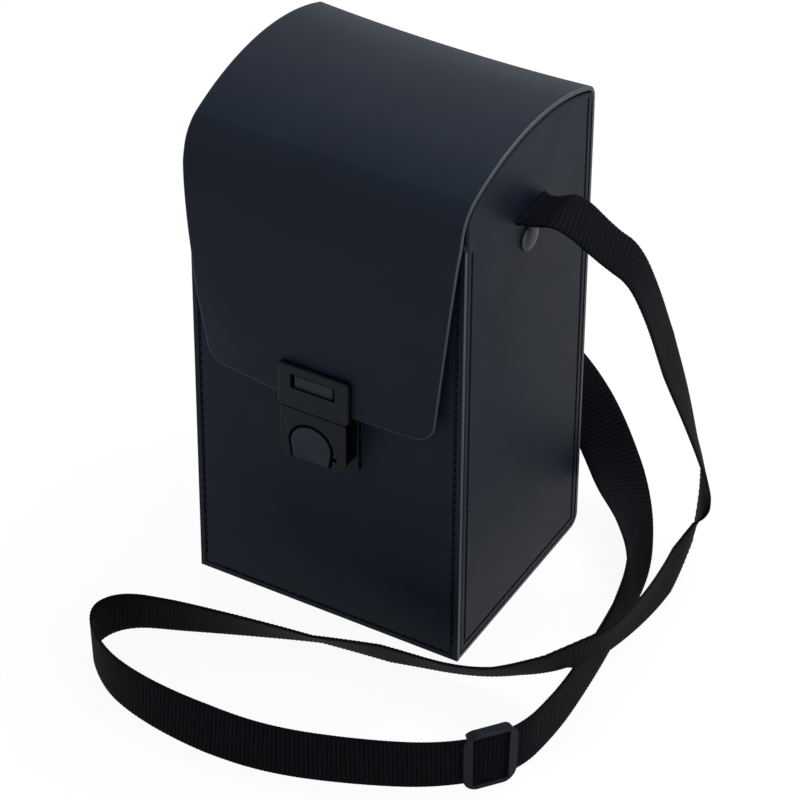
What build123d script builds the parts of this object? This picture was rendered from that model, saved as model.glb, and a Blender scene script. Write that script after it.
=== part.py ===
from build123d import *
import math
import os

# Binocular hard case with a wrap-over lid, a push-button lock and a webbing strap.
# Millimetres. X runs along the front, the front faces -Y, Z is up from the floor.

# ---- shell -------------------------------------------------------------------
case_width = 132.0        # outside, left to right
case_depth = 112.0        # outside, front panel to back panel
hinge_height = 228.0      # height of the fold between back and lid
hinge_outset = 0.3        # the fold line runs this far outside the back face
fold_gap = 0.3            # gap left open at the fold
front_drop = 5.5          # the front panel ends this far below the fold
sheet = 2.0               # thickness of the shell sheet
bend_radius = 6.0         # outside bend, back to bottom
corner_radius = 4.0       # top corners of the front panel
fold_radius = 1.5         # folded edges of the side panels
flange = 12.0             # turned-in flanges of the side panels
flange_drop = 6.5         # the flanges stop this far below the front panel's edge
groove_inset = 3.4        # pressed groove inside the side panel edges
groove_back_rise = 6.0    # the groove's back run ends this far above the fold
crease_inset = 2.3        # pressed crease inside the front panel edges
groove_width = 1.5
groove_depth = 0.5

# ---- lid ---------------------------------------------------------------------
crown_radius = 125.0      # arch over the top, front to back
crown_rise = 22.2         # highest point of the lid above the fold
flap_radius = 160.0       # arch of the flap's upper half
flap_bulge = 8.0          # the flap stands this far in front of the front panel
flap_straight_drop = 40.0  # the flap hangs straight from this far below the fold
shoulder_radius = 18.0    # bend between crown and flap
back_radius = 5.5         # bend between crown and back
taper_drop = 6.0          # the flap narrows from this far below the fold
taper = 10.6              # narrowing on each side at the flap's lower edge
flap_corner = 8.5
lid_gap = 1.0             # between lid sheet and the side panels' top edges

# ---- inside ------------------------------------------------------------------
overlap = 0.1             # joined shapes of one piece run this far into each other
board = 2.0               # stiffening boards between the flanges
board_drop = 3.5          # boards and linings stop below the front panel's edge
lining = 1.0
lining_drop = 2.0         # the side linings stop this far below the side edge
pad_thickness = 4.0
pad_round = 1.5
lid_lining_front = 4.0    # the lid lining starts this far inside the front panel
lid_lining_back = 10.0    # and ends this far inside the back panel
lid_lining_side = 2.0     # lid lining clears the side linings by this much

# ---- strap holders -----------------------------------------------------------
web_width = 25.0
web_thickness = 1.5
slot_play = 1.5           # the slot is longer than the webbing is wide
slot_height = 3.2
slot_rounding = 0.45      # corner radius of the slot, as a share of its height
slot_drop = 20.3          # the slot lies this far below the fold
lining_slot_height = 4.6
tail_length = 23.7        # the tail hangs this far below the slot
tail_bend = 2.0           # bend radius at mid thickness
tail_outside = 2.0        # the tail ends this far outside the side panel
strap_rivet_y = -0.8
strap_rivet_drop = 13.5   # below the slot
strap_cap_radius = 6.75
strap_cap_height = 2.6
strap_cap_waist = 0.75    # height of the dome halfway out, as a share of the whole
strap_post_radius = 2.0
strap_foot_radius = 3.6
strap_foot_height = 1.0
washer_radius = 6.0
washer_thickness = 0.8
hole_play = 0.05

# ---- lock on the front panel ---------------------------------------------------
lock_height = 91.4        # underside of the lock housing above the floor
plate_half = 17.2
plate_drop = 4.3          # the base plate reaches this far below the housing
plate_rise = 3.4          # and this far above it
plate_thickness = 2.0
plate_notch_half = 11.0
plate_notch_depth = 8.0   # notch behind the button's arm
plate_corner = 2.0
housing_half = 16.2
housing_height = 26.3
housing_setback = 0.2     # housing face behind the hasp's face
housing_wall = 2.2
housing_corner = 7.0
housing_top_corner = 1.0
opening_radius = 10.9     # arched opening for the button
opening_rise = 9.3        # centre of its arch above the underside
opening_x = -1.0          # and beside the middle
opening_taper = 1.3       # the sides lean in by this much from the arch to the underside
housing_mouth = 11.2      # half width of the open underside
notch_x = 10.3            # small square notch beside the button
notch_rise = 6.5
notch_side = 2.0
lock_rivet_x = 12.0
lock_rivet_rise = (7.7, 19.7)
lock_rivet_radius = 1.0
lock_head_radius = 1.8
lock_head_height = 0.8
backing_half = 15.5
backing_margin = 2.0      # the backing plate is this much shorter at each end
backing_thickness = 1.0

# ---- button --------------------------------------------------------------------
pin_depth = 4.0           # pin behind the housing's face
pin_rise = 3.5            # pin above the housing's underside
pin_radius = 1.0
pin_inset = 2.4           # the pin ends this far inside the housing's sides
barrel_wall = 1.1
barrel_play = 0.3         # around the pin
barrel_half = 8.4
pad_play = 0.6            # around the thumb pad
pad_lift = 0.7            # flat lower edge of the pad above the underside
pad_proud = 0.4           # the pad stands out of the housing
pad_depth = 2.2
pad_edge = 0.6
arm_offset = 0.8          # face of the arm behind the pin's axis
arm_thickness = 1.8
arm_inset = 0.3           # the arm is narrower than the nose on each side
arm_slot_play = 0.8
spacer_half = 6.0
spacer_bottom = 4.7       # above the pin
spacer_height = 7.5
nose_side_play = 1.0
nose_top_play = 0.9
nose_recess = 1.2         # nose behind the hasp's face
nose_gap = 0.35           # between nose and the sloping sill of the window
spring_wire = 0.45        # square wire
spring_radius = 1.45      # coil at mid wire
spring_pitch = 0.7
spring_turns = 3.0
spring_start = -1.0       # the coil sits between the button's two knuckles
spring_leg = 4.0          # how far its leg rises along the base plate
spring_room_half = 3.0    # gap between the knuckles

# ---- hasp on the lid -------------------------------------------------------------
hasp_gap = 0.4            # hasp above the housing
hasp_half = 17.3
hasp_height = 22.0
hasp_overhang = 3.0       # the hasp reaches below the flap's edge
hasp_thickness = 3.2
hasp_corner = 2.0
window_half = 10.3
window_rise = 11.4        # sill above the hasp's lower edge, at its face
window_height = 6.3
flap_notch_play = 0.3     # the flap is cut wider than the window
flap_notch_rise = 1.3     # and higher
hasp_backing_half = 16.5
hasp_backing_margin = 1.2  # shorter than the hasp at the top
hasp_backing_lift = 1.0   # above the flap's lower edge
hasp_backing_thickness = 0.8
hasp_rivet_x = 13.8
hasp_rivet_rise = (6.5, 17.5)
hasp_rivet_radius = 1.0
hasp_rivet_depth = 2.2    # how far the rivets reach into the hasp plate
hasp_head_radius = 2.0
hasp_head_height = 0.8

# ---- slider on the strap -----------------------------------------------------------
slider_run = 29           # the slider sits on the run that starts at this point
slider_share = 0.66       # how far along that run
slider_length = 24.0
slider_height = 30.0
slider_thickness = 4.6
slider_corner = 6.0
slider_rail = 2.0
slider_bar = 4.0
slider_bar_thickness = 1.1
slider_recess = 0.1       # bars are set back this far to clear the webbing's faces

# ---- route of the strap, from the right slot round the front to the left slot -----------
strap_route = [
    (68.0, 0.0, 207.7),
    (72.0, 0.0, 207.7),
    (84.0, 0.5, 213.0),
    (100.0, 8.0, 194.5),
    (109.0, 12.5, 187.0),
    (117.5, 15.0, 167.0),
    (121.5, 23.5, 138.0),
    (125.0, 38.0, 102.0),
    (126.0, 55.0, 62.0),
    (124.0, 69.0, 34.0),
    (123.0, 60.0, 15.0),
    (125.5, 34.0, 13.0),
    (129.0, 6.0, 18.5),
    (132.5, -25.0, 28.5),
    (134.0, -53.0, 38.0),
    (123.0, -69.0, 36.0),
    (101.0, -70.5, 21.0),
    (77.0, -73.0, 12.5),
    (45.0, -77.5, 11.4),
    (14.0, -84.0, 11.0),
    (-12.0, -92.0, 12.0),
    (-46.0, -103.0, 12.8),
    (-71.0, -112.0, 13.0),
    (-77.5, -130.0, 13.0),
    (-58.0, -149.0, 13.0),
    (-34.0, -157.0, 13.0),
    (-2.0, -160.0, 13.0),
    (32.0, -157.5, 12.8),
    (70.0, -145.0, 13.6),
    (101.0, -131.0, 15.0),
    (123.0, -108.0, 15.0),
    (125.5, -76.0, 13.6),
    (123.5, -46.0, 13.0),
    (120.0, -14.0, 13.0),
    (114.5, 18.0, 13.0),
    (100.0, 48.0, 13.2),
    (78.0, 74.0, 19.0),
    (57.0, 85.0, 42.0),
    (35.0, 89.0, 62.0),
    (8.0, 90.0, 77.0),
    (-20.0, 86.0, 90.0),
    (-50.0, 78.0, 106.0),
    (-76.0, 64.0, 126.0),
    (-91.0, 44.0, 148.0),
    (-97.0, 24.0, 170.0),
    (-96.0, 9.0, 192.0),
    (-84.0, 0.0, 207.7),
    (-68.0, 0.0, 207.7),
]
# Direction across the webbing at some of the route's points, by their number.
web_across = {
    0: (0.0, 1.0, 0.0),
    1: (0.0, 1.0, 0.0),
    3: (-0.3, 0.93, 0.15),
    6: (-0.3, 0.92, 0.23),
    8: (-0.6, 0.72, 0.35),
    9: (-0.55, 0.8, 0.1),
    10: (-0.2, 0.6, -0.6),
    11: (0.0, 0.0, -1.0),
    13: (-0.26, -0.3, -0.93),
    14: (-0.4, -0.1, -0.9),
    15: (0.0, 0.62, -0.75),
    16: (0.2, 0.75, -0.62),
    18: (0.0, 0.56, -0.83),
    19: (-0.22, 0.66, -0.72),
    21: (-0.1, 0.3, -0.95),
    24: (0.0, 0.0, -1.0),
    26: (0.0, -0.14, -0.99),
    29: (0.0, 0.0, -1.0),
    33: (0.0, 0.0, -1.0),
    34: (0.2, 0.06, -0.97),
    35: (0.58, 0.42, -0.7),
    36: (0.67, 0.74, 0.0),
    37: (0.6, 0.75, 0.27),
    39: (0.1, 1.0, 0.05),
    43: (0.2, 0.9, 0.3),
    45: (0.3, 0.93, 0.15),
    47: (0.0, 1.0, 0.0),
}
strap_step = 8.0          # spacing of the strap's cross-sections
strap_bend_share = 0.45   # a bend takes up this share of the shorter run beside it

# ---- positions that follow from the dimensions ----------------------------------------
side_x = case_width / 2
front_y = -case_depth / 2
back_y = case_depth / 2
hinge_y = back_y + hinge_outset
crown_height = hinge_height + crown_rise
front_height = hinge_height - front_drop
flange_top = front_height - flange_drop
board_top = front_height - board_drop
flap_y = front_y - flap_bulge
flap_straight = hinge_height - flap_straight_drop
taper_start = hinge_height - taper_drop
inner_front = front_y + sheet
inner_back = back_y - sheet
board_front = inner_front + board
board_back = inner_back - board
floor_z = sheet + board
wall_x = side_x - sheet
lining_x = wall_x - lining
slot_z = hinge_height - slot_drop
strap_rivet_z = slot_z - strap_rivet_drop

plate_front = front_y - plate_thickness
hasp_front = flap_y - hasp_thickness
housing_front = hasp_front + housing_setback
housing_top = lock_height + housing_height
plate_bottom = lock_height - plate_drop
plate_top = housing_top + plate_rise
opening_z = lock_height + opening_rise
hasp_bottom = housing_top + hasp_gap
hasp_top = hasp_bottom + hasp_height
window_sill = hasp_bottom + window_rise
window_top = window_sill + window_height
flap_bottom = hasp_bottom + hasp_overhang
flap_notch_half = window_half + flap_notch_play
flap_notch_top = window_top + flap_notch_rise
open_slope = (hinge_y - flap_y) / (hinge_height - window_sill)

pin_y = housing_front + pin_depth
pin_z = lock_height + pin_rise
pin_half = housing_half - pin_inset
barrel_bore = pin_radius + barrel_play
barrel_radius = barrel_bore + barrel_wall
pad_radius = opening_radius - pad_play
pad_front = housing_front - pad_proud
pad_back = pad_front + pad_depth
nose_half = window_half - nose_side_play
nose_front = hasp_front + nose_recess
nose_top = window_top - nose_top_play
arm_half = nose_half - arm_inset
arm_front = pin_y + arm_offset
arm_back = arm_front + arm_thickness


def block(x0, x1, y0, y1, z0, z1):
    """Box between two corners."""
    middle = Pos((x0 + x1) / 2, (y0 + y1) / 2, (z0 + z1) / 2)
    return middle * Box(x1 - x0, y1 - y0, z1 - z0)


def rod_x(radius, x0, x1, y, z):
    """Cylinder along X."""
    return Pos((x0 + x1) / 2, y, z) * Rot(0, 90, 0) * Cylinder(radius, x1 - x0)


def rod_y(radius, x, y0, y1, z):
    """Cylinder along Y."""
    return Pos(x, (y0 + y1) / 2, z) * Rot(90, 0, 0) * Cylinder(radius, y1 - y0)


def flat(u0, u1, v0, v1):
    """Rectangle in a drawing plane."""
    return Pos((u0 + u1) / 2, (v0 + v1) / 2) * Rectangle(u1 - u0, v1 - v0)


def rounded(face, corners, radius):
    """Round the corners of a drawing that lie nearest the given points."""
    chosen = [face.vertices().sort_by_distance((u, v, 0))[0] for u, v in corners]
    return fillet(chosen, radius)


def across(face, x0, x1):
    """Extrude a (y, z) drawing along X."""
    start = Plane((x0, 0, 0), x_dir=(0, 1, 0), z_dir=(1, 0, 0))
    return extrude(start * face, amount=x1 - x0, dir=(1, 0, 0))


def frontal(face, y0, y1):
    """Extrude an (x, z) drawing along Y."""
    start = Plane((0, y1, 0), x_dir=(1, 0, 0), z_dir=(0, -1, 0))
    return extrude(start * face, amount=y1 - y0, dir=(0, -1, 0))


def mirrored(piece):
    """The same piece on the other side of the case."""
    return mirror(piece, about=Plane.YZ)


def lid_envelope(inset):
    """(y, z) outline under the lid's outside face, drawn in by inset."""
    low = -20.0
    crown_z = crown_height - crown_radius
    crown = Pos(0, crown_z) * Circle(crown_radius - inset)
    crown += flat(-crown_radius, crown_radius, low, crown_z)
    bow = Pos(flap_y + flap_radius, flap_straight) * Circle(flap_radius - inset)
    bow += flat(flap_y + inset, 2 * back_y, low, flap_straight)
    space = flat(flap_y + inset, back_y - inset, low, crown_height)
    outline = crown & bow & space
    highest = outline.vertices().sort_by(Axis.Y)
    shoulder = highest.filter_by(lambda corner: corner.X < 0)[-1]
    outline = fillet(shoulder, shoulder_radius - inset)
    highest = outline.vertices().sort_by(Axis.Y)
    back_top = highest.filter_by(lambda corner: corner.X > back_y / 2)[-1]
    return fillet(back_top, back_radius - inset)


def groove_loop(x0, x1):
    """Tool for the groove along the side's front, bottom and back edges."""
    y0 = inner_front + groove_inset
    y1 = inner_back - groove_inset
    z0 = sheet + groove_inset
    front = block(x0, x1, y0, y0 + groove_width, z0, flange_top)
    base = block(x0, x1, y0, y1, z0, z0 + groove_width)
    back = block(x0, x1, y1 - groove_width, y1, z0, hinge_height + groove_back_rise)
    return front + base + back


def button_arch(radius, bottom):
    """Arched outline of the button or its opening, down to the given height."""
    arch = Circle(radius) & flat(-radius, radius, 0, radius)
    low = bottom - opening_z
    foot = radius + opening_taper * low / opening_rise
    sides = Polygon((-radius, 0), (-foot, low), (foot, low), (radius, 0), align=None)
    return Pos(opening_x, opening_z) * (arch + sides)


def front_panel():
    face = flat(-side_x, side_x, 0, front_height)
    corners = [(-side_x, front_height), (side_x, front_height)]
    panel = frontal(rounded(face, corners, corner_radius), front_y, inner_front)
    left = -side_x + crease_inset
    outer = flat(left, -left, crease_inset, front_height + 1)
    core = flat(left + groove_width, -left - groove_width,
                crease_inset + groove_width, front_height + 2)
    panel -= frontal(outer - core, front_y - 1, front_y + groove_depth)
    return panel - lock_rivet_holes()


def back_bottom_panel():
    top = hinge_height - fold_gap / 2
    outer = rounded(flat(inner_front, back_y, 0, top), [(back_y, 0)], bend_radius)
    inner = flat(inner_front - 5, inner_back, sheet, top + 5)
    inner = rounded(inner, [(inner_back, sheet)], bend_radius - sheet)
    return across(outer - inner, -side_x, side_x)


def side_panel_right():
    outline = flat(inner_front, inner_back, sheet, crown_height)
    outline = outline & lid_envelope(sheet + lid_gap)
    outline = rounded(outline, [(inner_back, sheet)], bend_radius - sheet)
    rim_x = wall_x - flange
    panel = across(outline, rim_x, side_x)
    panel = fillet(fold_edges(panel), fold_radius)
    hollow = block(rim_x - 1, wall_x, board_front, board_back, floor_z, crown_height)
    panel -= hollow
    panel -= block(rim_x - 1, wall_x, front_y, back_y, flange_top, crown_height)
    face_x = side_x - groove_depth
    panel -= groove_loop(face_x, side_x + 1)
    panel -= strap_slot(wall_x - 1, side_x + 1, slot_height)
    return panel - strap_post_hole(wall_x - 1, side_x + 1)


def fold_edges(panel):
    """Outer edges where the side sheet turns in to front, bottom and back."""
    rim = panel.faces().sort_by(Axis.X)[-1].edges()
    return rim.filter_by(lambda edge: edge.center().Z < flange_top)


def strap_slot(x0, x1, height):
    length = web_width + slot_play
    opening = Pos(0, slot_z) * RectangleRounded(length, height, slot_rounding * height)
    return across(opening, x0, x1)


def strap_post_hole(x0, x1):
    return rod_x(strap_post_radius + hole_play, x0, x1, strap_rivet_y, strap_rivet_z)


def front_board():
    rim_x = wall_x - flange
    panel = block(-rim_x, rim_x, inner_front, board_front, floor_z, board_top)
    return panel - lock_rivet_holes()


def back_board():
    rim_x = wall_x - flange
    return block(-rim_x, rim_x, board_back, inner_back, bend_radius + sheet, board_top)


def bottom_board():
    rim_x = wall_x - flange
    return block(-rim_x, rim_x, inner_front, back_y - bend_radius, sheet, floor_z)


def lining_front():
    panel = block(-wall_x, wall_x, board_front, board_front + lining,
                  floor_z, board_top)
    return panel - lock_rivet_holes()


def lining_back():
    return block(-wall_x, wall_x, board_back - lining, board_back,
                 floor_z, board_top)


def lining_right():
    outline = flat(board_front + lining, board_back - lining, floor_z, crown_height)
    outline = outline & lid_envelope(sheet + lid_gap + lining_drop)
    panel = across(outline, lining_x, wall_x)
    panel -= strap_slot(lining_x - 1, wall_x + 1, lining_slot_height)
    return panel - strap_post_hole(lining_x - 1, wall_x + 1)


def bottom_pad():
    pad = block(-lining_x, lining_x, board_front + lining, board_back - lining,
                floor_z, floor_z + pad_thickness)
    return fillet(pad.faces().sort_by(Axis.Z)[-1].edges(), pad_round)


def flap_cutaway():
    """What the tapering flap leaves out of a full-width sheet."""
    around = flat(-side_x - 1, side_x + 1, flap_bottom - 1, taper_start)
    low = side_x - taper
    keep = Polygon((-side_x, taper_start), (-low, flap_bottom), (low, flap_bottom),
                   (side_x, taper_start), align=None)
    keep = rounded(keep, [(-low, flap_bottom), (low, flap_bottom)], flap_corner)
    return frontal(around - keep, flap_y - 1, front_y)


def lid_panel():
    strip = lid_envelope(0) - lid_envelope(sheet)
    strip -= flat(flap_y - 1, 0, -30, flap_bottom)
    strip -= flat(-1, back_y + 1, -30, hinge_height + fold_gap / 2)
    panel = across(strip, -side_x, side_x) - flap_cutaway()
    panel -= block(-flap_notch_half, flap_notch_half, flap_y - 1, front_y,
                   flap_bottom - 1, flap_notch_top)
    return panel - hasp_rivet_holes()


def lid_lining():
    strip = lid_envelope(sheet) - lid_envelope(sheet + lining)
    strip &= flat(inner_front + lid_lining_front, inner_back - lid_lining_back,
                  flap_straight, crown_height)
    half = lining_x - lid_lining_side
    return across(strip, -half, half)


def strap_end_right():
    inner = lining_x - web_thickness
    bend_z = slot_z - tail_bend
    bend_x = inner + web_thickness / 2 + tail_bend
    drop = flat(inner, lining_x, slot_z - tail_length, bend_z)
    ring = Circle(tail_bend + web_thickness / 2) - Circle(tail_bend - web_thickness / 2)
    quarter = ring & flat(-2 * tail_bend, 0, 0, 2 * tail_bend)
    run = flat(bend_x, side_x + tail_outside,
               slot_z - web_thickness / 2, slot_z + web_thickness / 2)
    shape = drop + Pos(bend_x, bend_z) * quarter + run
    tail = frontal(shape, -web_width / 2, web_width / 2)
    return tail - strap_post_hole(inner - 1, lining_x + 1)


def strap_rivet_right():
    """Domed cap outside, post through the wall, flat foot on the washer."""
    seat = lining_x - web_thickness - washer_thickness
    end = seat - strap_foot_height
    top = (side_x + strap_cap_height, 0)
    waist = (side_x + strap_cap_waist * strap_cap_height, strap_cap_radius / 2)
    axis = Line((end, 0), top)
    dome = ThreePointArc(top, waist, (side_x, strap_cap_radius))
    rest = Polyline((side_x, strap_cap_radius), (side_x, strap_post_radius),
                    (seat, strap_post_radius), (seat, strap_foot_radius),
                    (end, strap_foot_radius), (end, 0))
    half = make_face([axis, dome, rest])
    return Pos(0, strap_rivet_y, strap_rivet_z) * revolve(half, Axis.X)


def strap_washer_right():
    outer = lining_x - web_thickness
    inner = outer - washer_thickness
    disc = rod_x(washer_radius, inner, outer, strap_rivet_y, strap_rivet_z)
    return disc - strap_post_hole(inner - 1, outer + 1)


def lock_rivet_places():
    return [(side * lock_rivet_x, lock_height + rise)
            for side in (-1, 1) for rise in lock_rivet_rise]


def lock_rivet_holes():
    tools = [rod_y(lock_rivet_radius + hole_play, x, plate_front - 1,
                   board_front + lining + backing_thickness + 1, z)
             for x, z in lock_rivet_places()]
    return tools[0] + tools[1:]


def lock_base_plate():
    face = flat(-plate_half, plate_half, plate_bottom, plate_top)
    face = fillet(face.vertices(), plate_corner)
    face -= flat(-plate_notch_half, plate_notch_half,
                 plate_top - plate_notch_depth, plate_top + 1)
    return frontal(face, plate_front, front_y) - lock_rivet_holes()


def lock_backing_plate():
    face = flat(-backing_half, backing_half,
                plate_bottom + 2 * backing_margin, plate_top - 2 * backing_margin)
    face = fillet(face.vertices(), plate_corner)
    start = board_front + lining
    plate = frontal(face, start, start + backing_thickness)
    return plate - lock_rivet_holes()


def lock_rivets():
    inside = board_front + lining + backing_thickness
    rivets = []
    for x, z in lock_rivet_places():
        head = rod_y(lock_head_radius, x, plate_front - lock_head_height,
                     plate_front, z)
        shaft = rod_y(lock_rivet_radius, x, plate_front - overlap, inside + overlap, z)
        foot = rod_y(lock_head_radius, x, inside, inside + lock_head_height, z)
        rivets.append(head + shaft + foot)
    return rivets


def lock_housing():
    face = flat(-housing_half, housing_half, lock_height, housing_top)
    low = [(-housing_half, lock_height), (housing_half, lock_height)]
    high = [(-housing_half, housing_top), (housing_half, housing_top)]
    face = rounded(rounded(face, low, housing_corner), high, housing_top_corner)
    shell = frontal(face, housing_front, plate_front)
    inner = housing_half - housing_wall
    base = lock_height + housing_wall
    hollow = flat(-inner, inner, base, housing_top - housing_wall)
    low = [(-inner, base), (inner, base)]
    hollow = rounded(hollow, low, housing_corner - housing_wall)
    shell -= frontal(hollow, housing_front + housing_wall, plate_front + 1)
    shell -= frontal(button_arch(opening_radius, lock_height - 1), housing_front - 1,
                     housing_front + housing_wall + overlap)
    shell -= block(-housing_mouth, housing_mouth, housing_front + housing_wall,
                   plate_front + 1, lock_height - 1, base + 1)
    slot_half = arm_half + arm_slot_play
    shell -= block(-slot_half, slot_half, arm_front - arm_slot_play, plate_front + 1,
                   housing_top - housing_wall - 1, housing_top + 1)
    notch_z = lock_height + notch_rise
    shell -= block(notch_x - notch_side / 2, notch_x + notch_side / 2,
                   housing_front - 1, housing_front + housing_wall + overlap,
                   notch_z - notch_side / 2, notch_z + notch_side / 2)
    reach = pin_half + hole_play
    return shell - rod_x(pin_radius + hole_play, -reach, reach, pin_y, pin_z)


def button_pin():
    return rod_x(pin_radius, -pin_half, pin_half, pin_y, pin_z)


def button_spring():
    """Torsion spring wound on the pin, its lower leg resting on the base plate."""
    height = spring_pitch * spring_turns
    coil_path = Helix(spring_pitch, height, spring_radius)
    start = Plane(coil_path @ 0, z_dir=coil_path % 0)
    coil = sweep(start * Rectangle(spring_wire, spring_wire), path=coil_path)
    turned = Plane((spring_start, pin_y, pin_z), x_dir=(0, 1, 0), z_dir=(1, 0, 0))
    coil = turned * coil
    foot_y = plate_front - spring_wire / 2
    hook = Line((spring_start, pin_y + spring_radius, pin_z),
                (spring_start, foot_y, pin_z + spring_leg / 2))
    toe = Line(hook @ 1, (spring_start, foot_y, pin_z + spring_leg))
    return coil + wire_along(hook) + wire_along(toe)


def wire_along(line):
    """Straight stretch of the spring's square wire."""
    plane = Plane(line @ 0, x_dir=(1, 0, 0), z_dir=line % 0)
    return extrude(plane * Rectangle(spring_wire, spring_wire), amount=line.length)


def sill_z(y, gap):
    """Height of the window's sloping sill, which follows the lid's first movement."""
    lift = gap * math.sqrt(1 + open_slope ** 2)
    return window_sill - open_slope * (y - hasp_front) + lift


def thumb_button():
    pad = frontal(button_arch(pad_radius, lock_height + pad_lift), pad_front, pad_back)
    pad = chamfer(pad.faces().sort_by(Axis.Y)[0].edges(), pad_edge)
    arm = block(-arm_half, arm_half, arm_front, arm_back, pin_z, nose_top)
    spacer_z = pin_z + spacer_bottom
    spacer = block(-spacer_half, spacer_half, pad_back - overlap, arm_front + overlap,
                   spacer_z, spacer_z + spacer_height)
    barrel = rod_x(barrel_radius, -barrel_half, barrel_half, pin_y, pin_z)
    wedge = Polygon((nose_front, sill_z(nose_front, nose_gap)),
                    (nose_front, nose_top), (arm_back, nose_top),
                    (arm_back, sill_z(arm_back, nose_gap)), align=None)
    nose = across(wedge, -nose_half, nose_half)
    button = pad + arm + spacer + barrel + nose
    button -= block(-spring_room_half, spring_room_half, pad_back, plate_front,
                    lock_height, spacer_z)
    return button - rod_x(barrel_bore, -side_x, side_x, pin_y, pin_z)


def hasp_rivet_places():
    return [(side * hasp_rivet_x, hasp_bottom + rise)
            for side in (-1, 1) for rise in hasp_rivet_rise]


def hasp_rivet_holes():
    """Blind from behind, so the hasp's front face stays plain."""
    tools = [rod_y(hasp_rivet_radius + hole_play, x,
                   flap_y - hasp_rivet_depth - hole_play, front_y, z)
             for x, z in hasp_rivet_places()]
    return tools[0] + tools[1:]


def hasp_plate():
    face = flat(-hasp_half, hasp_half, hasp_bottom, hasp_top)
    face = fillet(face.vertices(), hasp_corner)
    plate = frontal(face, hasp_front, flap_y)
    ahead = hasp_front - 1
    behind = flap_y + 1
    window = Polygon((ahead, sill_z(ahead, 0)), (ahead, window_top),
                     (behind, window_top), (behind, sill_z(behind, 0)), align=None)
    plate -= across(window, -window_half, window_half)
    return plate - hasp_rivet_holes()


def hasp_backing_plate():
    low = flap_bottom + hasp_backing_lift
    face = flat(-hasp_backing_half, hasp_backing_half,
                low, hasp_top - hasp_backing_margin)
    face -= flat(-flap_notch_half, flap_notch_half, low - 1, flap_notch_top)
    start = flap_y + sheet
    plate = frontal(face, start, start + hasp_backing_thickness)
    return plate - hasp_rivet_holes()


def hasp_rivets():
    seat = flap_y + sheet + hasp_backing_thickness
    rivets = []
    for x, z in hasp_rivet_places():
        shaft = rod_y(hasp_rivet_radius, x, flap_y - hasp_rivet_depth, seat + overlap, z)
        head = rod_y(hasp_head_radius, x, seat, seat + hasp_head_height, z)
        rivets.append(shaft + head)
    return rivets


def route_radii(points):
    """Largest comfortable bend at each inner point of the route."""
    radii = []
    for before, here, after in zip(points, points[1:], points[2:]):
        arrive = Vector(*here) - Vector(*before)
        leave = Vector(*after) - Vector(*here)
        half_turn = math.radians(arrive.get_angle(leave)) / 2
        shorter = min(arrive.length, leave.length)
        radii.append(strap_bend_share * shorter / math.tan(half_turn))
    return radii


def strap_path():
    return FilletPolyline(*strap_route, radius=route_radii(strap_route))


def route_shares():
    """Share of the route's length at each of its points."""
    spots = [Vector(*spot) for spot in strap_route]
    runs = [(b - a).length for a, b in zip(spots, spots[1:])]
    return [sum(runs[:i]) / sum(runs) for i in range(len(spots))]


def across_at(share, shares):
    """Direction across the webbing, blended between the numbered points."""
    marks = sorted(web_across)
    for before, after in zip(marks, marks[1:]):
        if share <= shares[after]:
            blend = (share - shares[before]) / (shares[after] - shares[before])
            start = Vector(*web_across[before])
            return start + (Vector(*web_across[after]) - start) * blend
    return Vector(*web_across[marks[-1]])


def web_section(path, share, shares):
    """Cross-section of the webbing, square to the path."""
    tangent = path % share
    wide = across_at(share, shares)
    wide = wide - tangent * wide.dot(tangent)
    plane = Plane(path @ share, x_dir=wide, z_dir=tangent)
    return plane * Rectangle(web_width, web_thickness)


def shoulder_strap():
    path = strap_path()
    shares = route_shares()
    count = round(path.length / strap_step)
    sections = [web_section(path, i / count, shares) for i in range(count + 1)]
    return loft(sections, ruled=True)


def strap_slider():
    """Three-bar slider standing on edge; the webbing passes straight through."""
    outline = RectangleRounded(slider_length, slider_height, slider_corner)
    frame = extrude(outline, amount=slider_thickness / 2, both=True)
    room = slider_height - 2 * slider_rail
    cut = 2 * slider_bar_thickness
    passage = Box(slider_length + 2, room, slider_thickness - cut)
    gap = slider_length / 2 - 1.5 * slider_bar
    shift = slider_bar / 2 + gap / 2
    windows = [Pos(side * shift, 0, 0) * Box(gap, room, 2 * slider_thickness)
               for side in (-1, 1)]
    frame -= passage
    frame -= windows[0] + windows[1]
    depth = cut + slider_recess
    behind = Pos(0, 0, -slider_thickness / 2) * Box(slider_bar, room, depth)
    ahead = [Pos(side * slider_length / 2, 0, slider_thickness / 2)
             * Box(2 * slider_bar, room, depth) for side in (-1, 1)]
    frame -= behind
    frame -= ahead[0] + ahead[1]
    start = Vector(*strap_route[slider_run])
    along = Vector(*strap_route[slider_run + 1]) - start
    inward = Vector(0, 0, 1).cross(along)
    stand = Plane(start + along * slider_share, x_dir=along, z_dir=inward)
    return stand * frame


def pair(piece):
    return [piece, mirrored(piece)]


def save(name, solids):
    """One file per named piece; identical fasteners share a file."""
    group = solids if isinstance(solids, list) else [solids]
    bodies = [body for item in group for body in item.solids()]
    node = Compound(label=name, children=bodies) if len(bodies) > 1 else bodies[0]
    node.label = name
    export_step(node, os.path.join("parts", name + ".step"))


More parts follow.
